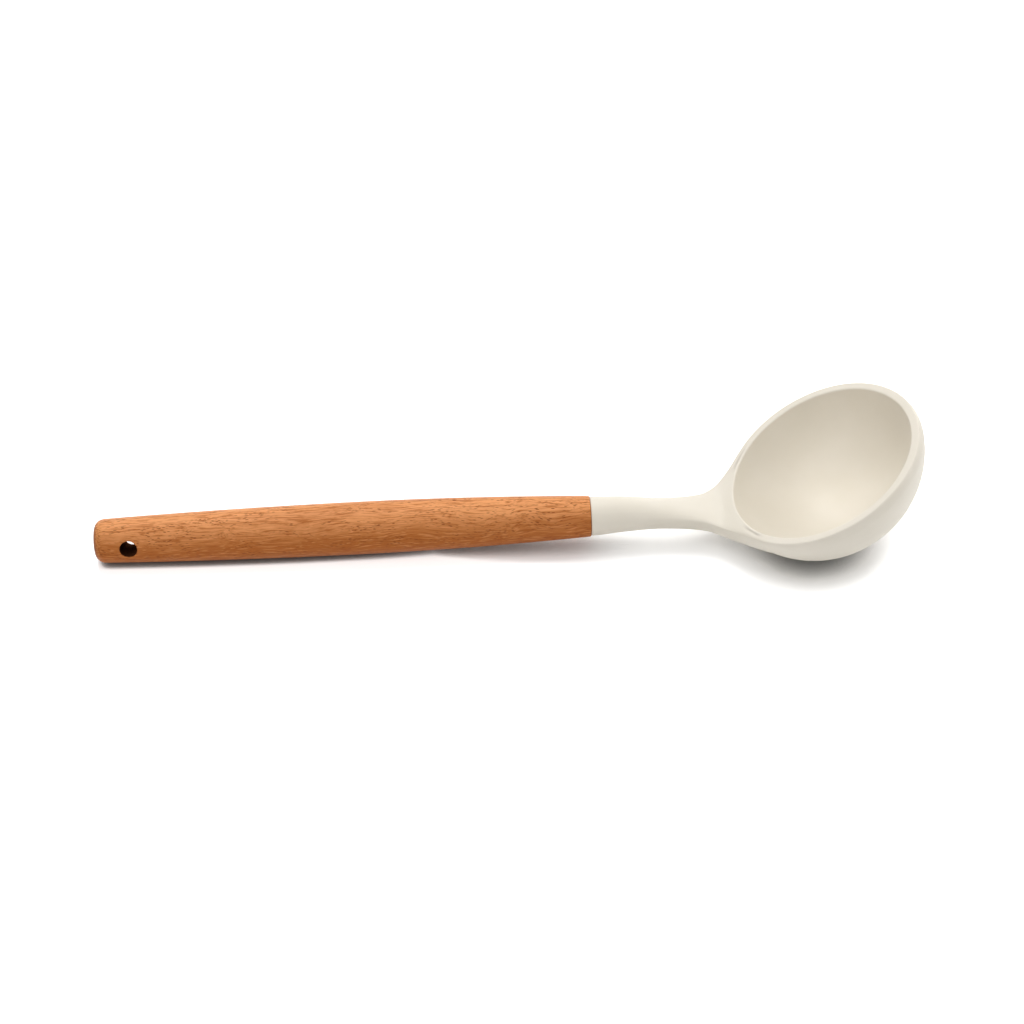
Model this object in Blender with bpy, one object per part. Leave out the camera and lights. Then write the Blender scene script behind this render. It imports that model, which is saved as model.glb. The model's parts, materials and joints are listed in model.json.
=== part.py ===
"""Soup ladle: a silicone head moulded over a nylon core, glued into a turned wooden handle.

The pieces are drawn in the handle's own frame and then laid down as the ladle rests on a table:
    origin  on the handle's axis, where the neck meets the wood
    +X      along the axis, towards the bowl
    +Z      square to the axis, on the side that the bowl opens to
"""
from collections import namedtuple
from math import acos, asin, copysign, cos, hypot, pi, radians, sin, sqrt, tan

import bmesh
import bpy
from mathutils import Matrix, Vector

# Wooden handle: a barrel that is fullest at its belly (metres)
HANDLE_LENGTH = 0.1992
BUTT_DIAMETER = 0.0174
BELLY_DIAMETER = 0.0212
BELLY_FROM_BUTT = 0.108
NOSE_DIAMETER = 0.0165
BUTT_EDGE = 0.0042
NOSE_EDGE = 0.0008

# Hanging hole, square to the axis and turned out of the level
HOLE_DIAMETER = 0.0070
HOLE_FROM_BUTT = 0.0141
HOLE_OFF_AXIS = 0.0012
HOLE_TURN_DEGREES = 25.0

# Bowl: an even wall between two spheres, cut flat at the rim
RIM_DIAMETER = 0.0862
BOWL_DEPTH = 0.0369
BOWL_WALL = 0.0045
RIM_EDGE = 0.0032
MOUTH_EDGE = 0.0008

# Neck: its axis is the handle's, and passes under the rim's near edge
NECK_LENGTH = 0.0551
NECK_RISE_DEGREES = 28.0
NECK_DROP = 0.00325
NECK_STEP = 0.0004
NECK_EDGE = 0.0004

# Neck sections: place, width, top and bottom over the axis, and how the last one grows towards the bowl
SHANK_FROM_JOINT = 0.0140
SHANK_WIDTH = 0.0146
SHANK_TOP = 0.0073
SHANK_BOTTOM = -0.0067
WAIST_FROM_RIM = 0.0251
WAIST_WIDTH = 0.0138
WAIST_TOP = 0.0045
WAIST_BOTTOM = -0.0063
WAIST_CREST = 0.63
WAIST_SQUARENESS = 2.1
FLARE_FROM_RIM = 0.0101
FLARE_WIDTH = 0.0172
FLARE_TOP = 0.0024
FLARE_BOTTOM = -0.0062
FLARE_CREST = 0.79
FLARE_SQUARENESS = 3.0
THROAT_FROM_RIM = 0.0021
THROAT_WIDTH = 0.0280
THROAT_TOP = 0.0027
THROAT_BOTTOM = -0.0064
THROAT_CREST = 0.88
THROAT_SPREAD = 1.94
THROAT_RISE = 0.33
ROUND_CREST = 0.5
ROUND = 2.0

# Inside the head: silicone skin over the core
SKIN = 0.0010
CORE_EDGE = 0.0003

# Tang and bore
TANG_DIAMETER = 0.0100
TANG_LENGTH = 0.0380
TANG_CHAMFER = 0.0010
GROOVES = 3
GROOVE_DEPTH = 0.0007
GROOVE_WIDTH = 0.0040
GLUE = 0.0005
DRILL_POINT_DEGREES = 118.0

# Clearance between pieces that touch
GAP = 0.0003

# Facets
HANDLE_SIDES = 36
GLUE_SIDES = 18
BARREL_STEPS = 5
BUTT_STEPS = 5
NOSE_STEPS = 3
HOLE_SIDES = 28
BOWL_COLUMNS = 24
BOWL_ROWS = 4
MOUTH_STEPS = 2
RIM_STEPS = 2
NECK_COLUMNS = 6
NECK_ROWS = RIM_STEPS + 2
SPREAD_STEPS = 2
RING_POINTS = 2 * (NECK_COLUMNS + NECK_ROWS)
EDGE_SUPPORT = 0.0025
NECK_PATCH_DEPTH = 0.0150
SMOOTH_LEVEL = 1
FIT_ROUNDS = 12
SHARP_DEGREES = 40.0

# Search for the resting angle
STEEPEST_DEGREES = 30.0
HALVINGS = 50

# Colours, linear, and roughness
WOOD = ("wood", (0.50, 0.22, 0.085), 0.55)
SILICONE = ("silicone", (0.78, 0.72, 0.62), 0.60)
NYLON = ("nylon", (0.60, 0.60, 0.58), 0.50)
EPOXY = ("epoxy", (0.70, 0.58, 0.30), 0.30)

Section = namedtuple("Section", "at width top bottom crest squareness")
THROAT_SLOPES = Section(1.0, THROAT_SPREAD, THROAT_RISE, 0.0, 0.0, 0.0)


def remove_all():
    for item in list(bpy.data.objects):
        bpy.data.objects.remove(item, do_unlink=True)


def material(name, colour, roughness):
    made = bpy.data.materials.new(name)
    made.use_nodes = True
    shader = made.node_tree.nodes["Principled BSDF"]
    shader.inputs["Base Color"].default_value = (*colour, 1.0)
    shader.inputs["Roughness"].default_value = roughness
    shader.inputs["Metallic"].default_value = 0.0
    return made


def add_object(name, bm, look, parent):
    """Close a bmesh into a named object with its material, on the parent."""
    bmesh.ops.recalc_face_normals(bm, faces=bm.faces)
    mesh = bpy.data.meshes.new(name)
    bm.to_mesh(mesh)
    bm.free()
    mesh.shade_smooth()
    mesh.set_sharp_from_angle(angle=radians(SHARP_DEGREES))
    item = bpy.data.objects.new(name, mesh)
    if look:
        mesh.materials.append(material(*look))
    item.parent = parent
    bpy.context.scene.collection.objects.link(item)
    return item


def spun(profile, sides):
    """A bmesh turned about X from a profile of (x, radius) that starts and ends on the axis."""
    bm = bmesh.new()
    points = [bm.verts.new((x, 0.0, radius)) for x, radius in profile]
    edges = [bm.edges.new(pair) for pair in zip(points, points[1:])]
    bmesh.ops.spin(bm, geom=points + edges, cent=(0, 0, 0), axis=(1, 0, 0), angle=2 * pi,
                   steps=sides, use_merge=True)
    bmesh.ops.remove_doubles(bm, verts=bm.verts, dist=GAP / 100)
    return bm


def arc(centre, radius, start, end, steps):
    """Points on an arc between two angles, its ends included."""
    angles = [start + (end - start) * step / steps for step in range(steps + 1)]
    return [(centre[0] + radius * cos(angle), centre[1] + radius * sin(angle)) for angle in angles]


def arc_middles(centre, radius, start, end, steps):
    """Points at the middles of so many steps along an arc."""
    half = (end - start) / steps / 2
    return arc(centre, radius, start + half, end - half, steps - 1)


# Wooden handle

def barrel_radius(from_butt):
    """Radius of the turned barrel: level at the belly, falling on a parabola to each end."""
    belly = BELLY_DIAMETER / 2
    reach = from_butt - BELLY_FROM_BUTT
    if reach < 0:
        run = BELLY_FROM_BUTT
        end = BUTT_DIAMETER / 2
    else:
        run = HANDLE_LENGTH - BELLY_FROM_BUTT
        end = NOSE_DIAMETER / 2
    return belly - (belly - end) * (reach / run) ** 2


def bore_radius():
    return TANG_DIAMETER / 2 + GLUE + 2 * GAP


def bore_depth():
    """Depth of the blind bore's straight part, from the wood's nose."""
    return TANG_LENGTH + GLUE + GAP


def handle_profile():
    """Butt face, barrel, nose, and back down the drilled bore, as (x, radius)."""
    butt = -GAP - HANDLE_LENGTH
    butt_centre = (butt + BUTT_EDGE, barrel_radius(BUTT_EDGE) - BUTT_EDGE)
    butt_edge = arc(butt_centre, BUTT_EDGE, pi, pi / 2, BUTT_STEPS)
    stations = [BUTT_EDGE + (BELLY_FROM_BUTT - BUTT_EDGE) * step / BARREL_STEPS
                for step in range(1, BARREL_STEPS + 1)]
    last = HANDLE_LENGTH - NOSE_EDGE
    stations += [BELLY_FROM_BUTT + (last - BELLY_FROM_BUTT) * step / BARREL_STEPS
                 for step in range(1, BARREL_STEPS)]
    barrel = [(butt + at, barrel_radius(at)) for at in stations]
    nose_centre = (-GAP - NOSE_EDGE, barrel_radius(last) - NOSE_EDGE)
    nose_edge = arc(nose_centre, NOSE_EDGE, pi / 2, 0, NOSE_STEPS)
    bore_end = -GAP - bore_depth()
    drill_point = bore_radius() / tan(radians(DRILL_POINT_DEGREES / 2))
    bore = [(-GAP, bore_radius()), (bore_end, bore_radius()), (bore_end - drill_point, 0.0)]
    return [(butt, 0.0)] + butt_edge + barrel + nose_edge + bore


def make_wooden_handle(parent):
    handle = add_object("wooden_handle", spun(handle_profile(), HANDLE_SIDES), WOOD, parent)
    drill = bmesh.new()
    bmesh.ops.create_cone(drill, cap_ends=True, segments=HOLE_SIDES, radius1=HOLE_DIAMETER / 2,
                          radius2=HOLE_DIAMETER / 2, depth=2 * BELLY_DIAMETER)
    cutter = add_object("hanging_hole_cutter", drill, None, parent)
    turn = radians(HOLE_TURN_DEGREES)
    off_axis = Vector((0, -sin(turn), -cos(turn))) * HOLE_OFF_AXIS
    cutter.location = Vector((HOLE_FROM_BUTT - HANDLE_LENGTH - GAP, 0, 0)) + off_axis
    cutter.rotation_euler.x = pi / 2 - turn
    cutter.hide_render = True
    cutter.display_type = "WIRE"
    cut = handle.modifiers.new("hanging_hole", "BOOLEAN")
    cut.operation = "DIFFERENCE"
    cut.object = cutter
    return handle


# Head: bowl and neck, drawn as one surface that the skin and the core share

def bowl_sphere():
    """Radius of the bowl's outer sphere, and the height of its centre over the rim."""
    radius = ((RIM_DIAMETER / 2) ** 2 + BOWL_DEPTH ** 2) / (2 * BOWL_DEPTH)
    return radius, radius - BOWL_DEPTH


def bowl_frame():
    """Matrix from the bowl (X to the handle, Z out of the rim, origin mid-rim) to the handle's frame."""
    turn = Matrix.Rotation(pi - radians(NECK_RISE_DEGREES), 4, "Y") @ Matrix.Scale(-1, 4, (0, 0, 1))
    near_rim = turn @ Vector((RIM_DIAMETER / 2, 0, -NECK_DROP))
    return Matrix.Translation(Vector((NECK_LENGTH, 0, 0)) - near_rim) @ turn


def bowl_rows(inset):
    """Rows of (radius, height) from the inner floor over the rim to the outer floor, set in by inset."""
    sphere, centre = bowl_sphere()
    inner = sphere - BOWL_WALL + inset
    outer = sphere - inset
    land = -inset
    mouth_edge = max(MOUTH_EDGE - inset, CORE_EDGE)
    rim_edge = max(RIM_EDGE - inset, CORE_EDGE)

    def at_angle(radius, angle):
        return radius * sin(angle), centre - radius * cos(angle)

    def edge_of(reach, edge):
        """Middle of a rounding that meets the land and a sphere, and how far it lies under the level."""
        drop = centre - land + edge
        return (sqrt(reach ** 2 - drop ** 2), land - edge), asin(drop / reach)

    mouth_middle, mouth_lean = edge_of(inner + mouth_edge, mouth_edge)
    rim_middle, rim_lean = edge_of(outer - rim_edge, rim_edge)
    mouth = arc_middles(mouth_middle, mouth_edge, pi - mouth_lean, pi / 2, MOUTH_STEPS)
    mid_land = ((mouth_middle[0] + rim_middle[0]) / 2, land)
    rim = arc_middles(rim_middle, rim_edge, pi / 2, -rim_lean, RIM_STEPS)

    inside_end = pi / 2 - mouth_lean - EDGE_SUPPORT / inner
    outside_start = pi / 2 - rim_lean - EDGE_SUPPORT / outer
    patch = acos((centre + NECK_PATCH_DEPTH) / outer)
    inside = [at_angle(inner, inside_end * row / BOWL_ROWS) for row in range(1, BOWL_ROWS + 1)]
    outside = [at_angle(outer, outside_start)]
    outside += [at_angle(outer, patch * row / BOWL_ROWS) for row in range(BOWL_ROWS, 0, -1)]
    return centre - inner, inside + mouth + [mid_land] + rim + outside, centre - outer


def round_section(at, radius):
    return Section(at, 2 * radius, radius, -radius, ROUND_CREST, ROUND)


def neck_sections():
    """Drawn sections of the neck, from the joint to where it opens into the bowl."""
    radius = NOSE_DIAMETER / 2 - NECK_STEP
    waist = NECK_LENGTH - WAIST_FROM_RIM
    flare = NECK_LENGTH - FLARE_FROM_RIM
    throat = NECK_LENGTH - THROAT_FROM_RIM
    return [
        round_section(0.0, radius - NECK_EDGE),
        round_section(NECK_EDGE, radius),
        round_section(NECK_EDGE + EDGE_SUPPORT, radius),
        Section(SHANK_FROM_JOINT, SHANK_WIDTH, SHANK_TOP, SHANK_BOTTOM, ROUND_CREST, ROUND),
        Section(waist, WAIST_WIDTH, WAIST_TOP, WAIST_BOTTOM, WAIST_CREST, WAIST_SQUARENESS),
        Section(flare, FLARE_WIDTH, FLARE_TOP, FLARE_BOTTOM, FLARE_CREST, FLARE_SQUARENESS),
        Section(throat, THROAT_WIDTH, THROAT_TOP, THROAT_BOTTOM, THROAT_CREST, FLARE_SQUARENESS),
    ]


def section_ring(section, inset):
    """Points around a neck section, from its top over +Y to its bottom and back."""
    top = section.top - inset
    bottom = section.bottom + inset
    crest = bottom + section.crest * (top - bottom)
    ring = []
    for step in range(RING_POINTS):
        angle = pi / 2 - 2 * pi * step / RING_POINTS
        across = copysign(abs(cos(angle)) ** (2 / section.squareness), cos(angle))
        up = abs(sin(angle)) ** (2 / section.squareness)
        end = top if sin(angle) > 0 else bottom
        ring.append(Vector((section.at, across * (section.width / 2 - inset), crest + up * (end - crest))))
    return ring


def curve(first, second, start, end, share):
    """Point of the cubic between two points, with the directions in which it leaves and arrives."""
    left = 1 - share
    return (first * left ** 2 * (1 + 2 * share) + second * share ** 2 * (1 + 2 * left)
            + start * share * left ** 2 - end * left * share ** 2)


def join_rings(bm, first, second):
    for index, corner in enumerate(first):
        bm.faces.new((first[index - 1], corner, second[index], second[index - 1]))


def head_surface(bm, inset):
    """Add the head's outside, set in by inset and open at the neck's end. Returns the end ring."""
    frame = bowl_frame()
    floor, rows, underside = bowl_rows(inset)
    half = NECK_COLUMNS // 2
    top_row = BOWL_ROWS + MOUTH_STEPS
    bottom_row = top_row + NECK_ROWS
    grid = {}
    for row, (radius, height) in enumerate(rows):
        for column in range(-BOWL_COLUMNS // 2, BOWL_COLUMNS // 2):
            if top_row < row < bottom_row and abs(column) < half:
                continue
            angle = 2 * pi * column / BOWL_COLUMNS
            place = Vector((radius * cos(angle), radius * sin(angle), height))
            grid[row, column % BOWL_COLUMNS] = bm.verts.new(frame @ place)

    for row in range(len(rows) - 1):
        for column in range(-BOWL_COLUMNS // 2, BOWL_COLUMNS // 2):
            if top_row <= row < bottom_row and -half <= column < half:
                continue
            left = column % BOWL_COLUMNS
            right = (column + 1) % BOWL_COLUMNS
            bm.faces.new((grid[row, left], grid[row, right], grid[row + 1, right], grid[row + 1, left]))

    for row, height in ((0, floor), (len(rows) - 1, underside)):
        pole = bm.verts.new(frame @ Vector((0, 0, height)))
        for column in range(0, BOWL_COLUMNS, 2):
            corners = [grid[row, (column + step) % BOWL_COLUMNS] for step in range(3)]
            bm.faces.new([pole] + corners)

    across = [(top_row, column) for column in range(0, half)]
    down = [(row, half) for row in range(top_row, bottom_row)]
    back = [(bottom_row, column) for column in range(half, -half, -1)]
    up = [(row, -half) for row in range(bottom_row, top_row, -1)]
    rest = [(top_row, column) for column in range(-half, 0)]
    border = across + down + back + up + rest
    opening = [grid[row, column % BOWL_COLUMNS] for row, column in border]

    def along_bowl(way, row, column):
        """A direction, pressed flat on the bowl's surface at a corner of its grid."""
        angle = 2 * pi * column / BOWL_COLUMNS
        outwards = rows[row + 1][0] - rows[row - 1][0]
        upwards = rows[row + 1][1] - rows[row - 1][1]
        facing = Vector((-upwards * cos(angle), -upwards * sin(angle), outwards))
        facing = (frame.to_3x3() @ facing).normalized()
        return (way - way.dot(facing) * facing).normalized()

    sections = neck_sections()
    rings = [section_ring(section, inset) for section in sections]
    throat = rings[-1]
    grown = Section(*[value + slope * GAP for value, slope in zip(sections[-1], THROAT_SLOPES)])
    ahead = section_ring(grown, inset)
    land_facing = frame.to_3x3() @ Vector((0, 0, 1))
    lowest_z = min(point.z for point in throat)
    crest_z = max(throat, key=lambda point: point.y).z
    for step in range(1, SPREAD_STEPS):
        spread = []
        for here, there, end, place in zip(throat, ahead, opening, border):
            way = end.co - here
            leaving = (there - here).normalized() * way.length
            level = min(1, (here.z - lowest_z) / (crest_z - lowest_z))
            leaving -= land_facing * leaving.dot(land_facing) * level * max(0, 1 - BOWL_WALL / way.length)
            arriving = along_bowl(way, *place) * way.length
            spread.append(curve(here, end.co, leaving, arriving, step / SPREAD_STEPS))
        rings.append(spread)

    rings = [[bm.verts.new(point) for point in ring] for ring in rings]
    for first, second in zip(rings, rings[1:] + [opening]):
        join_rings(bm, first, second)
    return rings[0]


def crease_ring(bm, ring):
    layer = bm.edges.layers.float.get("crease_edge") or bm.edges.layers.float.new("crease_edge")
    for index, corner in enumerate(ring):
        bm.edges.get((ring[index - 1], corner))[layer] = 1.0


def smooth_through(item):
    """Subdivide an object's mesh, with its cage moved so that the surface passes through its points."""
    smooth = item.modifiers.new("smooth", "SUBSURF")
    smooth.levels = SMOOTH_LEVEL
    smooth.render_levels = SMOOTH_LEVEL
    cage = item.data.vertices
    drawn = [vertex.co.copy() for vertex in cage]
    for _ in range(FIT_ROUNDS):
        surface = item.evaluated_get(bpy.context.evaluated_depsgraph_get()).data.vertices
        misses = [drawn[index] - surface[index].co for index in range(len(drawn))]
        for vertex, miss in zip(cage, misses):
            vertex.co += miss
        item.data.update()


def make_silicone_head(parent):
    bm = bmesh.new()
    outside = head_surface(bm, 0.0)
    inside = head_surface(bm, SKIN)
    join_rings(bm, outside, inside)
    crease_ring(bm, outside)
    crease_ring(bm, inside)
    head = add_object("silicone_head", bm, SILICONE, parent)
    smooth_through(head)
    return head


# Tang: the core's grooved end, and the glue round it

def tang_profile(clearance):
    """Tang outline from the shoulder to the tip, as (x, radius), grown by a clearance."""
    radius = TANG_DIAMETER / 2 + clearance
    pitch = (TANG_LENGTH - TANG_CHAMFER) / GROOVES
    outline = []
    for groove in range(GROOVES):
        middle = -(groove + 0.5) * pitch
        start = middle + GROOVE_WIDTH / 2 - clearance
        end = middle - GROOVE_WIDTH / 2 + clearance
        outline += [(start, radius), (start, radius - GROOVE_DEPTH)]
        outline += [(end, radius - GROOVE_DEPTH), (end, radius)]
    outline += [(TANG_CHAMFER - TANG_LENGTH - clearance, radius)]
    outline += [(-TANG_LENGTH - clearance, radius - TANG_CHAMFER)]
    return outline


def make_nylon_core(parent):
    """The head's inside, with the tang drawn out of its open neck end."""
    bm = bmesh.new()
    head_surface(bm, SKIN + GAP)
    shell = add_object("core_shell", bm, None, parent)
    smooth_through(shell)

    bm = bmesh.new()
    bm.from_object(shell, bpy.context.evaluated_depsgraph_get())
    bpy.data.objects.remove(shell, do_unlink=True)
    end = [edge for edge in bm.edges if edge.is_boundary]
    for x, radius in [(0.0, TANG_DIAMETER / 2)] + tang_profile(0.0):
        drawn = bmesh.ops.extrude_edge_only(bm, edges=end)["geom"]
        for corner in drawn:
            if isinstance(corner, bmesh.types.BMVert):
                grow = radius / hypot(corner.co.y, corner.co.z)
                corner.co = (x, corner.co.y * grow, corner.co.z * grow)
        end = [edge for edge in drawn if isinstance(edge, bmesh.types.BMEdge) and edge.is_boundary]
    bmesh.ops.edgeloop_fill(bm, edges=end)
    return add_object("nylon_core", bm, NYLON, parent)


def make_glue_bond(parent):
    """A cup of glue between the tang and the bore, keyed into the tang's grooves."""
    inside = tang_profile(GAP)
    outer = bore_radius() - GAP
    mouth = -2 * GAP
    end = -TANG_LENGTH - GAP - GLUE
    inner_wall = [(inside[-1][0], 0.0)] + inside[::-1]
    outer_wall = [(mouth, inside[0][1]), (mouth, outer), (end, outer), (end, 0.0)]
    cup = inner_wall + outer_wall
    return add_object("glue_bond", spun(cup, GLUE_SIDES), EPOXY, parent)


# Resting on the table

def points_of(item):
    surface = item.evaluated_get(bpy.context.evaluated_depsgraph_get()).data
    return [item.matrix_basis @ vertex.co for vertex in surface.vertices]


def lowest(points, angle):
    return min(point.z * cos(angle) - point.x * sin(angle) for point in points)


def resting_angle(head, handle):
    """Turn about Y at which the bowl and the handle touch the table together."""
    head_points = points_of(head)
    handle_points = points_of(handle)
    low = radians(-STEEPEST_DEGREES)
    high = radians(STEEPEST_DEGREES)
    for _ in range(HALVINGS):
        middle = (low + high) / 2
        if lowest(head_points, middle) > lowest(handle_points, middle):
            low = middle
        else:
            high = middle
    return (low + high) / 2


def lay_down(ladle, head, handle):
    """Turn and move the ladle so that it rests at height 0, centred on the origin."""
    turn = Matrix.Rotation(resting_angle(head, handle), 4, "Y")
    points = [turn @ point for point in points_of(head) + points_of(handle)]
    middle_x = (min(point.x for point in points) + max(point.x for point in points)) / 2
    floor = min(point.z for point in points)
    ladle.matrix_world = Matrix.Translation((-middle_x, 0, -floor)) @ turn


def main():
    remove_all()
    ladle = bpy.data.objects.new("ladle", None)
    bpy.context.scene.collection.objects.link(ladle)
    handle = make_wooden_handle(ladle)
    head = make_silicone_head(ladle)
    make_nylon_core(ladle)
    make_glue_bond(ladle)
    lay_down(ladle, head, handle)


main()
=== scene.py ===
"""Looks of the soup ladle: a turned hardwood handle and a matte silicone head, lying on a white table.

The pieces are drawn in the handle's own frame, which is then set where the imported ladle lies:
    origin  on the handle's axis, where the neck meets the wood
    +X      along the axis, towards the bowl
    +Z      square to the axis, on the side that the bowl opens to
"""
import json
from collections import namedtuple
from math import acos, asin, atan2, copysign, cos, hypot, pi, radians, sin, sqrt, tan

import bmesh
import bpy
from mathutils import Matrix, Vector
from mathutils.kdtree import KDTree


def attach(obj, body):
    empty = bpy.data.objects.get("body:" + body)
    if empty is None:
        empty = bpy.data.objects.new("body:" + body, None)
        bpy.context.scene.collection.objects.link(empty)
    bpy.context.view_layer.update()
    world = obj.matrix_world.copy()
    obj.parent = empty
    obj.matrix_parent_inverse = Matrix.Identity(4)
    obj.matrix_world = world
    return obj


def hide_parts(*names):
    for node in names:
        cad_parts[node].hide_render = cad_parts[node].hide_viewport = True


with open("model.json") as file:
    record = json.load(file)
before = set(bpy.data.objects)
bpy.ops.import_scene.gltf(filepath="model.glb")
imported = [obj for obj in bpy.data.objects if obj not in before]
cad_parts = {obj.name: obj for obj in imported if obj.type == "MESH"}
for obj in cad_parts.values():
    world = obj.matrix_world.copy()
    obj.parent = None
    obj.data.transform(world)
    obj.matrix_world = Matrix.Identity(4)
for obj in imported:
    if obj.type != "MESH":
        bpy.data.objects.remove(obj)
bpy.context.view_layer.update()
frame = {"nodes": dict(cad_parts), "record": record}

ALONG = Vector((1, 0, 0))
Section = namedtuple("Section", "at width top bottom crest squareness")
Rounding = namedtuple("Rounding", "middle radius start end")
Pattern = namedtuple("Pattern", "scale detail roughness low high strength", defaults=(0.5, 0.0, 1.0, 1.0))
Wood = namedtuple("Wood", "light shade dark pore gloss")
Lamp = namedtuple("Lamp", "name azimuth elevation size power")

# Wooden handle: a barrel that is fullest at its belly (metres)
HANDLE_LENGTH = 0.1992
BUTT_DIAMETER = 0.0174
BELLY_DIAMETER = 0.0212
BELLY_FROM_BUTT = 0.108
NOSE_DIAMETER = 0.0165
BUTT_EDGE = 0.0042
NOSE_EDGE = 0.0005
BORE_DIAMETER = 0.0122
BORE_DEPTH = 0.0388
DRILL_POINT_DEGREES = 118.0

# Hanging hole, square to the axis and turned out of the level
HOLE_DIAMETER = 0.0070
HOLE_FROM_BUTT = 0.0141
HOLE_OFF_AXIS = 0.0012
HOLE_TURN_DEGREES = 23.5
HOLE_EDGE = 0.00035
HOLE_PATCH = 0.0058

# Bowl: an even wall between two spheres, cut flat at the rim
RIM_DIAMETER = 0.0862
BOWL_DEPTH = 0.0369
BOWL_WALL = 0.0045
MOUTH_EDGE = 0.0008
RIM_EDGE = 0.0007
SHOULDER = 0.0080
SHOULDER_LEAN_DEGREES = 15.5

# Neck: its axis is the handle's, and passes under the rim's near edge
NECK_LENGTH = 0.0551
NECK_RISE_DEGREES = 28.0
NECK_DROP = 0.00325
NECK_STEP = 0.0004
NECK_EDGE = 0.0004
NECK_SEAM = 0.00006

# Neck sections: place, width, top and bottom over the axis, level of the widest part, and squareness
SHANK_FROM_JOINT = 0.0140
SHANK_WIDTH = 0.0146
SHANK_TOP = 0.0073
SHANK_BOTTOM = -0.0067
WAIST_FROM_RIM = 0.0251
WAIST_WIDTH = 0.0138
WAIST_TOP = 0.0045
WAIST_BOTTOM = -0.0063
WAIST_CREST = 0.63
WAIST_SQUARENESS = 2.1
FLARE_FROM_RIM = 0.0101
FLARE_WIDTH = 0.0172
FLARE_TOP = 0.0024
FLARE_BOTTOM = -0.0062
FLARE_CREST = 0.79
FLARE_SQUARENESS = 3.0
THROAT_FROM_RIM = 0.0021
THROAT_WIDTH = 0.0280
THROAT_TOP = 0.0027
THROAT_BOTTOM = -0.0064
THROAT_CREST = 0.88
THROAT_SPREAD = 1.94
THROAT_RISE = 0.33
ROUND_CREST = 0.5
ROUND = 2.0

# Silicone skin over the core, and the clearance between the neck and the wood
SKIN = 0.0010
SKIN_EDGE = 0.0003
GAP = 0.0003

# Values worked out from the sizes above
BUTT_X = -GAP - HANDLE_LENGTH
THROAT_SLOPES = Section(1.0, THROAT_SPREAD, THROAT_RISE, 0.0, 0.0, 0.0)

# Mesh of the handle: steps and rings, and the hole's place in its list of materials
HANDLE_SIDES = 128
BARREL_STEPS = 36
BUTT_STEPS = 12
BUTT_RINGS = 4
NOSE_STEPS = 6
PATCH_ROWS = 16
PATCH_RINGS = 5
EDGE_RINGS = 4
WALL_RINGS = 5
HOLE_LOOK = 1
SHARP_DEGREES = 40.0

# Mesh of the bowl: columns and rows, and the rows that hold its roundings and its land in shape
BOWL_COLUMNS = 48
BOWL_ROWS = 7
MOUTH_STEPS = 3
EDGE_STEPS = 2
SHOULDER_STEPS = 3
SIDE_ROWS = 3
EDGE_SUPPORT = 0.0020
LAND_SHARES = (0.12, 0.42, 0.85)

# Mesh of the neck: steps, and the patch of the bowl's grid that it opens into
SECTION_STEPS = 3
SPREAD_STEPS = 4
SPREAD_START = 0.0003
NECK_COLUMNS = 12
NECK_ROWS = EDGE_STEPS + SHOULDER_STEPS + SIDE_ROWS + 2
NECK_HALF = NECK_COLUMNS // 2
NECK_LAND_ROW = 1
NECK_TOP_ROW = BOWL_ROWS + MOUTH_STEPS + NECK_LAND_ROW
NECK_BOTTOM_ROW = NECK_TOP_ROW + NECK_ROWS
NECK_PATCH_DEPTH = 0.0150
RING_POINTS = 2 * (NECK_COLUMNS + NECK_ROWS)
CORNER_STEP = NECK_COLUMNS / 2 + 1 + EDGE_STEPS / 2

# Smoothing of the head, and how near to the bowl's outline its corners are settled on it
SMOOTH_LEVEL = 2
FIT_ROUNDS = 12
PROFILE_STEPS = 2400
ROUNDING_STEPS = 300
SETTLE_NEAR = 0.0001
SETTLE_FAR = 0.0005
SETTLE_INTO_NECK = 0.0025

# Colours: red, green, blue and opacity
# The wood's light and shade colours are lit and shaded copies of one wood, as painted light and shade, with a
# painted sheen in the light one
OILED_WOOD = Wood(light=(0.81, 0.349, 0.134, 1.0), shade=(0.44, 0.134, 0.027, 1.0),
                  dark=(0.38, 0.110, 0.022, 1.0), pore=(0.17, 0.042, 0.008, 1.0), gloss=0.08)
# The hole's wall: dark end grain, made darker still as painted shade inside the deep hole
HOLE_WOOD_AND_PAINTED_SHADE = Wood(light=(0.11, 0.040, 0.017, 1.0), shade=(0.09, 0.032, 0.014, 1.0),
                 dark=(0.07, 0.024, 0.010, 1.0), pore=(0.05, 0.017, 0.008, 1.0), gloss=0.0)
SILICONE_COLOURS = ((0.79, 0.735, 0.630, 1.0), (0.81, 0.755, 0.655, 1.0))
NYLON_COLOURS = ((0.56, 0.56, 0.54, 1.0), (0.64, 0.64, 0.62, 1.0))
GLUE_COLOURS = ((0.62, 0.48, 0.22, 1.0), (0.74, 0.62, 0.34, 1.0))
WHITE = (1.0, 1.0, 1.0, 1.0)

# Painted light and shade on the wood: the lit side of the turning, from +Y towards +Z, with a painted sheen,
# and how far the change to the shaded side runs
LIT_SIDE_DEGREES = 48.0
LIT_SIDE_REACH = 0.0074

# Wood grain: patterns by their lengths to the metre along each axis, and how they sway, dent and shine
SWAY = Pattern((26, 75, 75), detail=2.0)
SWAY_REACH = (0.0, 0.008, 0.008)
NOISE_MIDDLE = (0.5, 0.5, 0.5)
BANDS = Pattern((18, 190, 190), detail=3.0, low=0.46, high=0.68, strength=0.32)
STREAKS = Pattern((80, 1700, 1700), detail=3.0, roughness=0.6, low=0.44, high=0.66, strength=0.85)
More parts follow.
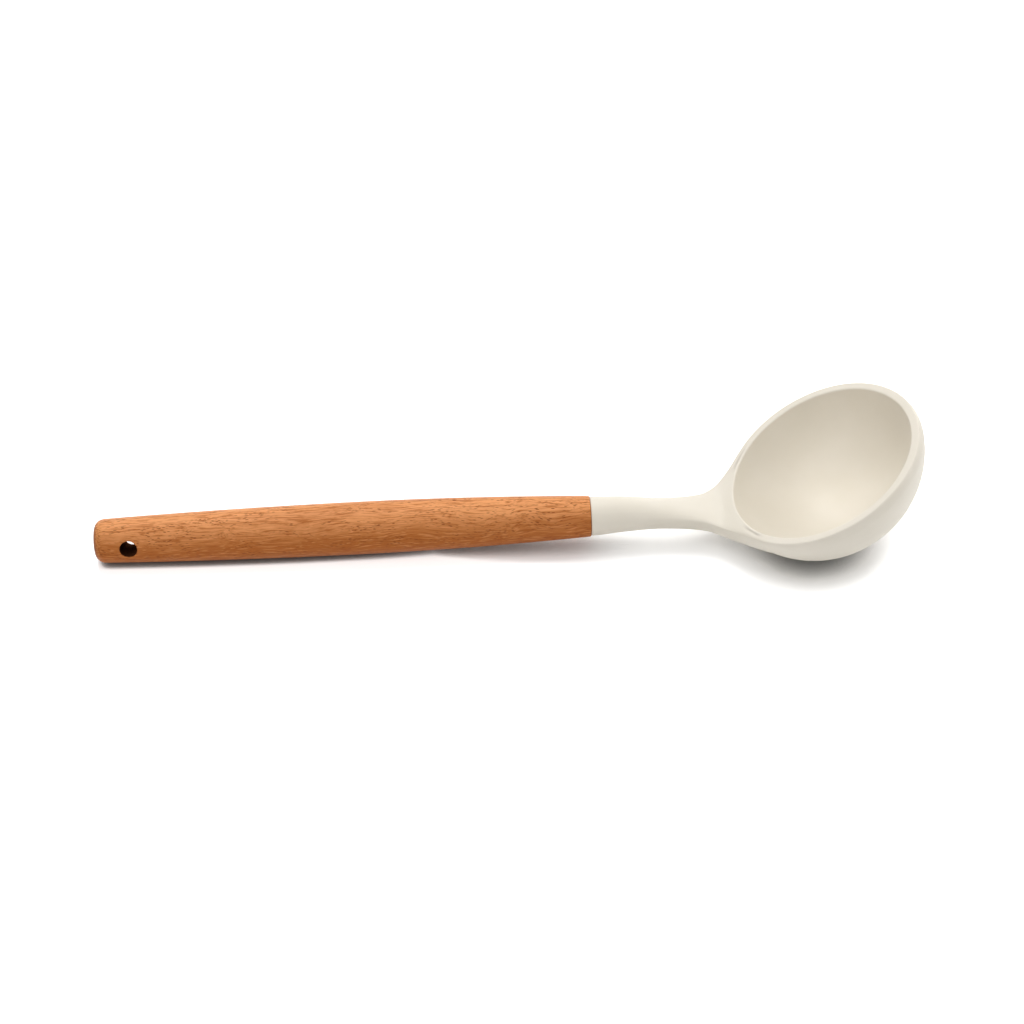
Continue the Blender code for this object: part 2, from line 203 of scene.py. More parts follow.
# Light flecks that mix towards the lit colour: painted glints on the fibres
GLINT_FLECKS = Pattern((130, 2100, 2100), detail=1.0, low=0.52, high=0.70, strength=0.45)
PORE_SCALE = (330, 2300, 2300)
PORE_SIZE = (0.16, 0.32)
PORE_DRIFT = Pattern((60, 260, 260), detail=1.0, low=0.40, high=0.58)
PORE_LEAST = 0.1
END_GRAIN = (0.55, 0.95)
END_GRAIN_STRENGTH = 0.7
STREAK_HEIGHT = 0.3
GRAIN_DEPTH = 0.00008
GRAIN_BUMP = 0.7
FIBRE_ROUGHNESS = 0.45
PORE_ROUGHNESS = 0.75

# Silicone: a faint cloud in its colour, and the fine etch of its mould
SILICONE_CLOUD = Pattern((60, 60, 60), detail=3.0, low=0.3, high=0.7)
SILICONE_ETCH = Pattern((4200, 4200, 4200), detail=2.0, low=0.3, high=0.7)
SILICONE_ROUGHNESS = (0.40, 0.50)
SILICONE_GLOSS = 0.35
ETCH_DEPTH = 0.00002
ETCH_BUMP = 0.25

# Nylon and glue, both out of sight
NYLON_CLOUD = Pattern((150, 150, 150), detail=4.0)
NYLON_DEPTH = 0.00005
NYLON_ROUGHNESS = 0.5
GLUE_CLOUD = Pattern((400, 400, 400), detail=2.0)
GLUE_DEPTH = 0.0001
GLUE_ROUGHNESS = 0.3
CLOUD_BUMP = 0.3

# Table: its side, its paint, and a glow that only looking rays see
TABLE_SIDE = 1.6
TABLE_COLOUR = 0.95
TABLE_GLOW = 0.52

# Shade on the table where the ladle covers it on the key's side: its reach grows along X over this range
SHADE_GROWS = (-0.030, 0.040)
SHADE_AZIMUTH = 110.0
SHADE_SAMPLES = 6

# Paint and glow in the shade, where the paint's darkening is a painted shadow: reach at the handle and the
# bowl, tilt, and the openness that they change over
PAINTED_SHADOW_REACH = (0.0032, 0.0100)
PAINTED_SHADOW_ELEVATION = 40.0
PAINTED_SHADOW_OPENNESS = (0.30, 0.75)
# Share of the paint's colour at the darkest of its painted shadow
PAINTED_SHADOW_DARKEST = 0.28
GLOW_REACH = (0.0030, 0.0145)
GLOW_ELEVATION = 20.0
GLOW_OPENNESS = (0.70, 0.88)

# Studio: disks of light round the table, by azimuth from +X, elevation, size and power in watts
LAMP_DISTANCE = 1.5
LAMPS = [
    Lamp("key_behind", 114, 74, 0.45, 5.7),
    Lamp("key_low", 104, 53, 0.35, 5.1),
    Lamp("over_the_camera", 270, 75, 1.0, 2.0),
    Lamp("front", 270, 45, 1.6, 3.6),
    Lamp("front_left", 225, 45, 1.6, 8.3),
    Lamp("right", 0, 24, 1.2, 9.0),
    Lamp("back_right", 60, 24, 1.2, 6.5),
    Lamp("back_left", 120, 24, 1.2, 2.9),
]

# Photograph: its side and focal length in pixels, and the camera's place over the table
PHOTO_SIDE = 1024
FOCAL_PIXELS = 2500
SENSOR_MM = 36.0
CAMERA_ELEVATION = 42.42
CAMERA_TURN = -3.11
CAMERA_DISTANCE = 1.0297
AIM_FROM_JOINT = Vector((-0.0309, 0.0183, 0.0))


# The ladle's frame, from the flat butt that the record gives

def ladle_frame():
    """Matrix from the handle's frame to the world."""
    butt = frame["record"]["mounts"][0]
    along = -Vector(butt["axis"]).normalized()
    end = Vector(butt["pos_m"])

    # The mount is stated a little beside the axis, which runs in the plane y = 0
    end.y = 0.0
    turn = ALONG.rotation_difference(along).to_matrix().to_4x4()
    return Matrix.Translation(end - along * BUTT_X) @ turn


LADLE = ladle_frame()


def add_piece(name, bm, materials, node):
    """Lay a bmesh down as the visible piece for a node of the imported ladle."""
    bmesh.ops.recalc_face_normals(bm, faces=bm.faces)
    bm.transform(LADLE)
    mesh = bpy.data.meshes.new(name)
    bm.to_mesh(mesh)
    bm.free()
    mesh.shade_smooth()
    mesh.set_sharp_from_angle(angle=radians(SHARP_DEGREES))
    for look in materials:
        mesh.materials.append(look)
    piece = bpy.data.objects.new(name, mesh)
    bpy.context.scene.collection.objects.link(piece)
    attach(piece, "root")
    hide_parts(node)


# Rings, steps and arcs

def join_rings(bm, first, second, look=0):
    """Join two rings of as many corners with quads."""
    for index, corner in enumerate(first):
        face = bm.faces.new((first[index - 1], corner, second[index], second[index - 1]))
        face.material_index = look


def next_ring(bm, ring, points):
    """Join a ring to a new one through as many points, and return the new one."""
    made = [bm.verts.new(point) for point in points]
    join_rings(bm, ring, made)
    return made


def even_steps(start, end, steps):
    """Values from start to end, both included, in so many even steps."""
    return [start + (end - start) * step / steps for step in range(steps + 1)]


def arc(centre, radius, start, end, steps):
    """Points at the middles of so many steps along an arc between two angles."""
    angles = [start + (end - start) * (step + 0.5) / steps for step in range(steps)]
    return [(centre[0] + radius * cos(angle), centre[1] + radius * sin(angle)) for angle in angles]


def curve(first, second, start, end, share):
    """Point of the cubic between two points, with the directions in which it leaves and arrives."""
    left = 1 - share
    return (first * left ** 2 * (1 + 2 * share) + second * share ** 2 * (1 + 2 * left)
            + start * share * left ** 2 - end * left * share ** 2)


def fading(distance, near, far):
    """Share that falls smoothly from 1 to 0 as a distance goes from near to far."""
    share = min(1, max(0, (far - distance) / (far - near)))
    return share * share * (3 - 2 * share)


# Wooden handle

def barrel_radius(from_butt):
    """Radius of the turned barrel: level at the belly, falling on a parabola to each end."""
    belly = BELLY_DIAMETER / 2
    reach = from_butt - BELLY_FROM_BUTT
    if reach < 0:
        run = BELLY_FROM_BUTT
        end = BUTT_DIAMETER / 2
    else:
        run = HANDLE_LENGTH - BELLY_FROM_BUTT
        end = NOSE_DIAMETER / 2
    return belly - (belly - end) * (reach / run) ** 2


def barrel_stations():
    """Places of the barrel's rows from the butt, and the first and last row of the hole's patch."""
    patch_start = HOLE_FROM_BUTT - HOLE_PATCH
    patch_end = HOLE_FROM_BUTT + HOLE_PATCH
    row_length = 2 * HOLE_PATCH / PATCH_ROWS
    lead_steps = max(1, round((patch_start - BUTT_EDGE) / row_length))
    lead = even_steps(BUTT_EDGE, patch_start, lead_steps)
    patch = even_steps(patch_start, patch_end, PATCH_ROWS)
    rest = even_steps(patch_end, HANDLE_LENGTH - NOSE_EDGE, BARREL_STEPS)
    return lead + patch[1:] + rest[1:], lead_steps, lead_steps + PATCH_ROWS


def column_angle(column):
    return 2 * pi * column / HANDLE_SIDES


def turned_point(x, radius, angle):
    """Point round the handle's axis, with the angle counted from +Y towards +Z."""
    return Vector((x, radius * cos(angle), radius * sin(angle)))


def barrel_point(from_butt, angle):
    return turned_point(BUTT_X + from_butt, barrel_radius(from_butt), angle)


def hole_axis(side):
    """Direction in which the hanging hole leaves the wood: upwards on the -Y side, side 1."""
    turn = radians(HOLE_TURN_DEGREES)
    return Vector((0, -cos(turn), sin(turn))) * side


def hole_across(side):
    """Direction square to the hole and to the handle's axis."""
    return hole_axis(side).cross(ALONG)


def hole_middle():
    turn = radians(HOLE_TURN_DEGREES)
    under_axis = Vector((0, -sin(turn), -cos(turn))) * HOLE_OFF_AXIS
    return ALONG * (BUTT_X + HOLE_FROM_BUTT) + under_axis


def around_hole(point, side):
    """Angle of a point round the hole, from +X towards the direction across it."""
    reach = point - hole_middle()
    return atan2(reach.dot(hole_across(side)), reach.x)


def hole_point(side, around, radius, depth):
    """Point of a ring round the hole: on the barrel, then sunk along the hole by a depth."""
    axis = hole_axis(side)
    point = hole_middle() + radius * (cos(around) * ALONG + sin(around) * hole_across(side))
    wood = barrel_radius(point.x - BUTT_X)
    run = point.y * axis.y + point.z * axis.z
    reach = sqrt(run ** 2 - (point.y ** 2 + point.z ** 2 - wood ** 2)) - run
    return point + axis * (reach - depth)


def patch_columns(side):
    """First and last column of the hole's patch on one side of the barrel."""
    axis = hole_axis(side)
    across = hole_across(side)
    facing = atan2(axis.z, axis.y)
    lean = copysign(1, across.z * cos(facing) - across.y * sin(facing))
    middle = hole_middle().dot(across) * lean
    wood = barrel_radius(HOLE_FROM_BUTT)
    low = facing + asin((middle - HOLE_PATCH) / wood)
    high = facing + asin((middle + HOLE_PATCH) / wood)
    return round(low / column_angle(1)), round(high / column_angle(1))


def add_hole_patch(bm, grid, rows, side):
    """Fill one opening of the barrel with rings that run down to the hole. Returns the hole's ring."""
    stations, first_row, last_row = rows
    first, last = patch_columns(side)
    border = [(first_row, column) for column in range(first, last)]
    border += [(row, last) for row in range(first_row, last_row)]
    border += [(last_row, column) for column in range(last, first, -1)]
    border += [(row, first) for row in range(last_row, first_row, -1)]

    starts = [barrel_point(stations[row], column_angle(column)) for row, column in border]
    arounds = [around_hole(start, side) for start in starts]
    ends = [hole_point(side, around, HOLE_DIAMETER / 2 + HOLE_EDGE, 0.0) for around in arounds]
    ring = [grid[row, column % HANDLE_SIDES] for row, column in border]
    for part in range(1, PATCH_RINGS + 1):
        mixed = [start.lerp(end, part / PATCH_RINGS) for start, end in zip(starts, ends)]
        ring = next_ring(bm, ring, [barrel_point(spot.x - BUTT_X, atan2(spot.z, spot.y)) for spot in mixed])
    for part in range(1, EDGE_RINGS + 1):
        turn = pi / 2 * part / EDGE_RINGS
        radius = HOLE_DIAMETER / 2 + HOLE_EDGE * (1 - sin(turn))
        depth = HOLE_EDGE * (1 - cos(turn))
        ring = next_ring(bm, ring, [hole_point(side, around, radius, depth) for around in arounds])
    return ring


def add_hole_wall(bm, near, far):
    """Join the two mouths of the hole, corner to nearest corner."""
    near = sorted(near, key=lambda corner: around_hole(corner.co, 1))
    far = sorted(far, key=lambda corner: around_hole(corner.co, 1))
    rings = [near]
    for part in range(WALL_RINGS):
        share = (part + 0.5) / WALL_RINGS
        rings.append([bm.verts.new(a.co.lerp(b.co, share)) for a, b in zip(near, far)])
    for first, second in zip(rings, rings[1:] + [far]):
        join_rings(bm, first, second, HOLE_LOOK)


def add_barrel(bm, rows):
    """Add the barrel with an opening for each mouth of the hole. Returns its grid of corners."""
    stations, first_row, last_row = rows
    openings = [patch_columns(side) for side in (1, -1)]

    def in_patch(row, column):
        inside = any((column - first) % HANDLE_SIDES < last - first for first, last in openings)
        return first_row <= row < last_row and inside

    def kept(row, column):
        inside = any(0 < (column - first) % HANDLE_SIDES < last - first for first, last in openings)
        return not (first_row < row < last_row and inside)

    grid = {}
    for row, from_butt in enumerate(stations):
        for column in range(HANDLE_SIDES):
            if kept(row, column):
                grid[row, column] = bm.verts.new(barrel_point(from_butt, column_angle(column)))
    for row in range(len(stations) - 1):
        for column in range(HANDLE_SIDES):
            if not in_patch(row, column):
                right = (column + 1) % HANDLE_SIDES
                corners = (row, column), (row, right), (row + 1, right), (row + 1, column)
                bm.faces.new([grid[corner] for corner in corners])
    return grid


def add_turned_end(bm, ring, profile, tip):
    """Carry a ring along a turned profile of (x, radius) to a tip on the axis."""
    angles = [column_angle(column) for column in range(HANDLE_SIDES)]
    for x, radius in profile:
        ring = next_ring(bm, ring, [turned_point(x, radius, angle) for angle in angles])
    pole = bm.verts.new((tip, 0, 0))
    for index, corner in enumerate(ring):
        bm.faces.new((ring[index - 1], corner, pole))


def make_handle(looks):
    bm = bmesh.new()
    rows = barrel_stations()
    stations = rows[0]
    grid = add_barrel(bm, rows)
    add_hole_wall(bm, *[add_hole_patch(bm, grid, rows, side) for side in (1, -1)])

    butt_ring = [grid[0, column] for column in range(HANDLE_SIDES)]
    butt_centre = (BUTT_X + BUTT_EDGE, barrel_radius(BUTT_EDGE) - BUTT_EDGE)
    butt_edge = arc(butt_centre, BUTT_EDGE, pi / 2, pi, BUTT_STEPS)
    flat = butt_edge[-1][1]
    butt_face = [(BUTT_X, flat * ring / BUTT_RINGS) for ring in range(BUTT_RINGS - 1, 0, -1)]
    add_turned_end(bm, butt_ring, butt_edge + butt_face, BUTT_X)

    nose = -GAP
    nose_ring = [grid[len(stations) - 1, column] for column in range(HANDLE_SIDES)]
    nose_centre = (nose - NOSE_EDGE, barrel_radius(stations[-1]) - NOSE_EDGE)
    nose_edge = arc(nose_centre, NOSE_EDGE, pi / 2, 0, NOSE_STEPS)
    bore_end = nose - BORE_DEPTH
    bore = [(nose, BORE_DIAMETER / 2), (bore_end, BORE_DIAMETER / 2)]
    drill_point = BORE_DIAMETER / 2 / tan(radians(DRILL_POINT_DEGREES / 2))
    add_turned_end(bm, nose_ring, nose_edge + bore, bore_end - drill_point)
    add_piece("turned_handle", bm, looks, "wooden_handle")


# Silicone head: bowl and neck, drawn as one surface

def bowl_sphere():
    """Radius of the bowl's outer sphere, and the height of its centre over the rim."""
    radius = ((RIM_DIAMETER / 2) ** 2 + BOWL_DEPTH ** 2) / (2 * BOWL_DEPTH)
    return radius, radius - BOWL_DEPTH


def bowl_frame():
    """Matrix from the bowl (X to the handle, Z out of the rim, origin mid-rim) to the handle's frame."""
    turn = Matrix.Rotation(pi - radians(NECK_RISE_DEGREES), 4, "Y") @ Matrix.Scale(-1, 4, (0, 0, 1))
    near_rim = turn @ Vector((RIM_DIAMETER / 2, 0, -NECK_DROP))
    return Matrix.Translation(ALONG * NECK_LENGTH - near_rim) @ turn


def bowl_roundings(inset):
    """Roundings of the mouth, the rim's edge and the shoulder under it, as arcs of the bowl's outline."""
    sphere, centre = bowl_sphere()
    edge = max(MOUTH_EDGE - inset, SKIN_EDGE)
    reach = sphere - BOWL_WALL + inset + edge
    drop = centre + inset + edge
    mouth = Rounding((sqrt(reach ** 2 - drop ** 2), -inset - edge), edge, pi - asin(drop / reach), pi / 2)

    lean = radians(SHOULDER_LEAN_DEGREES)
    reach = sphere - SHOULDER
    middle = (reach * cos(lean), centre - reach * sin(lean))
    edge = max(RIM_EDGE - inset, SKIN_EDGE)
    rise = -inset - edge - middle[1]
    run = sqrt((SHOULDER - inset - edge) ** 2 - rise ** 2)
    turn = atan2(rise, run)
    rim = Rounding((middle[0] + run, -inset - edge), edge, pi / 2, turn)
    return mouth, rim, Rounding(middle, SHOULDER - inset, turn, -lean)


def bowl_rows(inset):
    """Rows of (radius, height) from the inner floor over the rim to the outer floor, set in by inset."""
    sphere, centre = bowl_sphere()
    inner = sphere - BOWL_WALL + inset
    outer = sphere - inset
    mouth, rim, shoulder = bowl_roundings(inset)

    def at_angle(radius, angle):
        return radius * sin(angle), centre - radius * cos(angle)

    land_width = rim.middle[0] - mouth.middle[0]
    land = [(mouth.middle[0] + land_width * share, -inset) for share in LAND_SHARES]
    edges = arc(*rim, EDGE_STEPS) + arc(*shoulder, SHOULDER_STEPS)

    inside_end = mouth.start - pi / 2 - EDGE_SUPPORT / inner
    outside_start = pi / 2 + shoulder.end - EDGE_SUPPORT / outer
    patch = acos((centre + NECK_PATCH_DEPTH) / outer)
    inside = [at_angle(inner, inside_end * row / BOWL_ROWS) for row in range(1, BOWL_ROWS + 1)]
    side = [outside_start + (patch - outside_start) * (row / SIDE_ROWS) ** 2 for row in range(SIDE_ROWS)]
    outside = [at_angle(outer, angle) for angle in side]
    outside += [at_angle(outer, patch * row / BOWL_ROWS) for row in range(BOWL_ROWS, 0, -1)]
    return centre - inner, inside + arc(*mouth, MOUTH_STEPS) + land + edges + outside, centre - outer


def bowl_angle(column):
    return 2 * pi * column / BOWL_COLUMNS


def add_bowl(bm, floor, rows, underside):
    """Add the bowl with an opening for the neck. Returns its grid of corners."""
    from_bowl = bowl_frame()
    columns = range(-BOWL_COLUMNS // 2, BOWL_COLUMNS // 2)
    grid = {}
    for row, (radius, height) in enumerate(rows):
        for column in columns:
            if NECK_TOP_ROW < row < NECK_BOTTOM_ROW and abs(column) < NECK_HALF:
                continue
            angle = bowl_angle(column)
            place = Vector((radius * cos(angle), radius * sin(angle), height))
            grid[row, column % BOWL_COLUMNS] = bm.verts.new(from_bowl @ place)

    for row in range(len(rows) - 1):
        for column in columns:
            if NECK_TOP_ROW <= row < NECK_BOTTOM_ROW and -NECK_HALF <= column < NECK_HALF:
                continue
            left = column % BOWL_COLUMNS
            right = (column + 1) % BOWL_COLUMNS
            bm.faces.new((grid[row, left], grid[row, right], grid[row + 1, right], grid[row + 1, left]))

    # Two columns to a face, so that the faces round a pole are quads
    for row, height in ((0, floor), (len(rows) - 1, underside)):
        pole = bm.verts.new(from_bowl @ Vector((0, 0, height)))
        for column in range(0, BOWL_COLUMNS, 2):
            corners = [grid[row, (column + step) % BOWL_COLUMNS] for step in range(3)]
            bm.faces.new([pole] + corners)
    return grid


def bowl_facing(rows, row, column):
    """Direction square to the bowl's surface at a corner of its grid."""
    angle = bowl_angle(column)
    outwards = rows[row + 1][0] - rows[row - 1][0]
    upwards = rows[row + 1][1] - rows[row - 1][1]
    facing = Vector((-upwards * cos(angle), -upwards * sin(angle), outwards))
    return (bowl_frame().to_3x3() @ facing).normalized()


def neck_border():
    """Rows and columns of the bowl's corners round the neck's opening, from the top over +Y and back."""
    across = [(NECK_TOP_ROW, column) for column in range(0, NECK_HALF)]
    down = [(row, NECK_HALF) for row in range(NECK_TOP_ROW, NECK_BOTTOM_ROW)]
    back = [(NECK_BOTTOM_ROW, column) for column in range(NECK_HALF, -NECK_HALF, -1)]
    up = [(row, -NECK_HALF) for row in range(NECK_BOTTOM_ROW, NECK_TOP_ROW, -1)]
    rest = [(NECK_TOP_ROW, column) for column in range(-NECK_HALF, 0)]
    return across + down + back + up + rest


def round_section(at, radius):
    return Section(at, 2 * radius, radius, -radius, ROUND_CREST, ROUND)


def neck_sections():
    """Drawn sections of the neck, from the joint to where it opens into the bowl."""
    radius = NOSE_DIAMETER / 2 - NECK_STEP
    waist = NECK_LENGTH - WAIST_FROM_RIM
    flare = NECK_LENGTH - FLARE_FROM_RIM
    throat = NECK_LENGTH - THROAT_FROM_RIM
    end = NECK_SEAM - GAP
    ends = [round_section(end, radius - NECK_EDGE), round_section(end + NECK_EDGE, radius)]
    drawn = [
        round_section(NECK_EDGE + EDGE_SUPPORT, radius),
        Section(SHANK_FROM_JOINT, SHANK_WIDTH, SHANK_TOP, SHANK_BOTTOM, ROUND_CREST, ROUND),
        Section(waist, WAIST_WIDTH, WAIST_TOP, WAIST_BOTTOM, WAIST_CREST, WAIST_SQUARENESS),
        Section(flare, FLARE_WIDTH, FLARE_TOP, FLARE_BOTTOM, FLARE_CREST, FLARE_SQUARENESS),
        Section(throat, THROAT_WIDTH, THROAT_TOP, THROAT_BOTTOM, THROAT_CREST, FLARE_SQUARENESS),
    ]
    return ends + filled(drawn)


def filled(drawn):
    """Sections with more of them between, on smooth curves through the drawn ones."""
    slopes = []
    for last, after in zip([drawn[0]] + drawn, drawn[1:] + [drawn[-1]]):
        run = after.at - last.at
        slopes.append([(high - low) / run for low, high in zip(last, after)])
    slopes[-1] = THROAT_SLOPES
    made = []
    for first, second, start, end in zip(drawn, drawn[1:], slopes, slopes[1:]):
        run = second.at - first.at
        for step in range(SECTION_STEPS):
            share = step / SECTION_STEPS
            made.append(Section(*[curve(a, b, p * run, q * run, share)
                                  for a, b, p, q in zip(first, second, start, end)]))
    return made + [drawn[-1]]


def ring_angle(step):
    """Angle of a ring's point, with the upper corners in line with the rim's edge."""
    quarter = RING_POINTS // 4
    from_top = min(step, RING_POINTS - step)
    if from_top < CORNER_STEP:
        angle = pi / 2 - pi / 4 * from_top / CORNER_STEP
    elif from_top < quarter:
        angle = pi / 4 * (quarter - from_top) / (quarter - CORNER_STEP)
    else:
        angle = pi / 2 * (quarter - from_top) / quarter
    return angle if step <= RING_POINTS / 2 else pi - angle


def section_ring(section, inset):
    """Points around a neck section, from its top over +Y to its bottom and back."""
    top = section.top - inset
    bottom = section.bottom + inset
    crest = bottom + section.crest * (top - bottom)
    ring = []
    for step in range(RING_POINTS):
        angle = ring_angle(step)
        across = copysign(abs(cos(angle)) ** (2 / section.squareness), cos(angle))
        up = abs(sin(angle)) ** (2 / section.squareness)
        end = top if sin(angle) > 0 else bottom
        ring.append(Vector((section.at, across * (section.width / 2 - inset), crest + up * (end - crest))))
    return ring


def spread_rings(section, inset, ends, facings):
    """Rings that carry the neck from its throat on to the ends of the opening in the bowl."""
    throat = section_ring(section, inset)
    past_throat = [value + slope * SPREAD_START for value, slope in zip(section, THROAT_SLOPES)]
    ahead = section_ring(Section(*past_throat), inset)
    land_facing = bowl_frame().to_3x3() @ Vector((0, 0, 1))
    lowest = min(point.z for point in throat)
    widest = max(throat, key=lambda point: point.y).z
    rings = []
    for step in range(1, SPREAD_STEPS):
        ring = []
        for here, there, end, facing in zip(throat, ahead, ends, facings):
            way = end - here
            leaving = (there - here).normalized() * way.length

            # The upper part lies down along the rim's land, the more so the farther it has to go
            level = min(1, (here.z - lowest) / (widest - lowest))
            flatness = max(0, 1 - BOWL_WALL / way.length) * level
            leaving -= land_facing * leaving.dot(land_facing) * flatness
            arriving = (way - way.dot(facing) * facing).normalized() * way.length
            ring.append(curve(here, end, leaving, arriving, step / SPREAD_STEPS))
        rings.append(ring)
    return rings


def head_surface(bm, inset):
    """Add the head's outside, set in by inset and open at the neck's end. Returns the end ring."""
    floor, rows, underside = bowl_rows(inset)
    grid = add_bowl(bm, floor, rows, underside)
    border = neck_border()
    opening = [grid[row, column % BOWL_COLUMNS] for row, column in border]
    facings = [bowl_facing(rows, row, column) for row, column in border]

    sections = neck_sections()
    outline = [section_ring(section, inset) for section in sections]
    outline += spread_rings(sections[-1], inset, [corner.co for corner in opening], facings)
    rings = [[bm.verts.new(point) for point in ring] for ring in outline]
    for first, second in zip(rings, rings[1:] + [opening]):
        join_rings(bm, first, second)
    return rings[0]


def crease_ring(bm, ring):
    layer = bm.edges.layers.float.get("crease_edge") or bm.edges.layers.float.new("crease_edge")
    for index, corner in enumerate(ring):
        bm.edges.get((ring[index - 1], corner))[layer] = 1.0


def smooth_through_corners(bm):
    """Subdivide a bmesh, with its cage moved so that the surface passes through the drawn corners."""
    mesh = bpy.data.meshes.new("cage")
    bm.to_mesh(mesh)
    cage = bpy.data.objects.new("cage", mesh)
    bpy.context.scene.collection.objects.link(cage)
    smooth = cage.modifiers.new("smooth", "SUBSURF")
    smooth.levels = SMOOTH_LEVEL
    smooth.render_levels = SMOOTH_LEVEL
    drawn = [vertex.co.copy() for vertex in mesh.vertices]
    for _ in range(FIT_ROUNDS):
        surface = cage.evaluated_get(bpy.context.evaluated_depsgraph_get()).data.vertices
        misses = [drawn[index] - surface[index].co for index in range(len(drawn))]
        for vertex, miss in zip(mesh.vertices, misses):
            vertex.co += miss
        mesh.update()
    bm.clear()
    bm.from_object(cage, bpy.context.evaluated_depsgraph_get())
    bpy.data.objects.remove(cage, do_unlink=True)
    bpy.data.meshes.remove(mesh)


def bowl_profile():
    """Points close together along the bowl's outline, from its floor over the rim to its underside."""
    sphere, centre = bowl_sphere()
    mouth, rim, shoulder = bowl_roundings(0.0)

    def on_sphere(radius, start, end):
        return [Vector((radius * sin(angle), 0, centre - radius * cos(angle)))
                for angle in even_steps(start, end, PROFILE_STEPS)]

    def on_rounding(rounding):
        middle = Vector((rounding.middle[0], 0, rounding.middle[1]))
        return [middle + rounding.radius * Vector((cos(turn), 0, sin(turn)))
                for turn in even_steps(rounding.start, rounding.end, ROUNDING_STEPS)]

    inside = on_sphere(sphere - BOWL_WALL, 0, mouth.start - pi / 2) + on_rounding(mouth)
    outside = on_rounding(rim) + on_rounding(shoulder) + on_sphere(sphere, pi / 2 + shoulder.end, 0)
    land = [inside[-1].lerp(outside[0], share) for share in even_steps(0, 1, ROUNDING_STEPS)]
    return inside + land + outside


def settle_on_bowl(bm):
    """Move the corners close to the bowl's outline on to it, fading out where the neck begins."""
    points = bowl_profile()
    outline = KDTree(len(points))
    for index, point in enumerate(points):
        outline.insert(point, index)
    outline.balance()
    from_bowl = bowl_frame()
    to_bowl = from_bowl.inverted()
    mouth, rim, _ = bowl_roundings(0.0)
    neck_land = mouth.middle[0] + (rim.middle[0] - mouth.middle[0]) * LAND_SHARES[NECK_LAND_ROW]
    for corner in bm.verts:
        place = to_bowl @ corner.co
        radius = hypot(place.x, place.y)
        target, _, distance = outline.find((radius, 0, place.z))
        from_side = (bowl_angle(NECK_HALF) - abs(atan2(place.y, place.x))) * radius
        into_neck = min(radius - neck_land, from_side, place.z + NECK_PATCH_DEPTH)
        share = fading(distance, SETTLE_NEAR, SETTLE_FAR) * fading(into_neck, 0.0, SETTLE_INTO_NECK)
        if share > 0 and radius > 0:
            settled = Vector((place.x / radius * target.x, place.y / radius * target.x, target.z))
            corner.co = from_bowl @ place.lerp(settled, share)


def make_head(look):
    bm = bmesh.new()
    outside = head_surface(bm, 0.0)
    inside = head_surface(bm, SKIN)
    join_rings(bm, outside, inside)
    crease_ring(bm, outside)
    crease_ring(bm, inside)
    smooth_through_corners(bm)
    settle_on_bowl(bm)
    add_piece("moulded_head", bm, [look], "silicone_head")


# Shader nodes

def set_input(tree, socket, value):
    """Link an input to an output, or give it a constant."""
    if isinstance(value, bpy.types.NodeSocket):
        tree.links.new(value, socket)
    else:
        socket.default_value = value


def add_node(tree, kind, inputs=None, **settings):
    """Add a shader node with its settings, and with inputs by name or number."""
    made = tree.nodes.new("ShaderNode" + kind)
    for name, value in settings.items():
        setattr(made, name, value)
    for socket, value in (inputs or {}).items():
        set_input(tree, made.inputs[socket], value)
    return made


def mapped(tree, value, source, target, interpolation="LINEAR"):
    """Output that maps a value from one range to another, and stops at its ends."""
    ends = {"From Min": source[0], "From Max": source[1], "To Min": target[0], "To Max": target[1]}
    return add_node(tree, "MapRange", {"Value": value, **ends}, interpolation_type=interpolation).outputs[0]


def looking_rays(tree):
    """Output that is 1 for rays that look at a surface, from the camera or by way of a gloss or a glass."""
    path = add_node(tree, "LightPath").outputs
    seen = path["Is Camera Ray"]
    for name in ("Is Glossy Ray", "Is Transmission Ray"):
        seen = add_node(tree, "Math", {0: seen, 1: path[name]}, operation="MAXIMUM").outputs[0]
    return seen


# Materials

class Look:
    """A material, with short calls to add nodes to it."""

    def __init__(self, name):
        self.material = bpy.data.materials.new(name)
        self.material.use_nodes = True
        self.tree = self.material.node_tree
        self.surface = self.tree.nodes["Principled BSDF"]
        self.place = add_node(self.tree, "TexCoord").outputs["Object"]

    def vector(self, operation, first, second, output="Vector"):
        return add_node(self.tree, "VectorMath", {0: first, 1: second}, operation=operation).outputs[output]

    def number(self, operation, first, second=0.0):
        return add_node(self.tree, "Math", {0: first, 1: second}, operation=operation).outputs[0]

    def noise(self, pattern, place=None, output="Fac"):
        stretched = self.vector("MULTIPLY", place or self.place, pattern.scale)
        inputs = {"Vector": stretched, "Scale": 1.0, "Detail": pattern.detail, "Roughness": pattern.roughness}
        return add_node(self.tree, "TexNoise", inputs).outputs[output]

    def between(self, value, source, target=(0.0, 1.0)):
        """A value mapped smoothly from one range to another."""
        return mapped(self.tree, value, source, target, "SMOOTHSTEP")

    def share(self, level, pattern, least=0.0):
        """How much of a pattern shows at a level of its noise."""
        return self.between(level, (pattern.low, pattern.high), (least, pattern.strength))

    def mix(self, share, first, second):
        """A mix of two colours, by the mix node's numbered colour inputs."""
        return add_node(self.tree, "Mix", {0: share, 6: first, 7: second}, data_type="RGBA").outputs[2]

    def bump(self, height, distance, strength):
        inputs = {"Height": height, "Distance": distance, "Strength": strength}
        return add_node(self.tree, "Bump", inputs).outputs[0]

    def finish(self, **inputs):
        for name, value in inputs.items():
            set_input(self.tree, self.surface.inputs[name.replace("_", " ")], value)
        return self.material


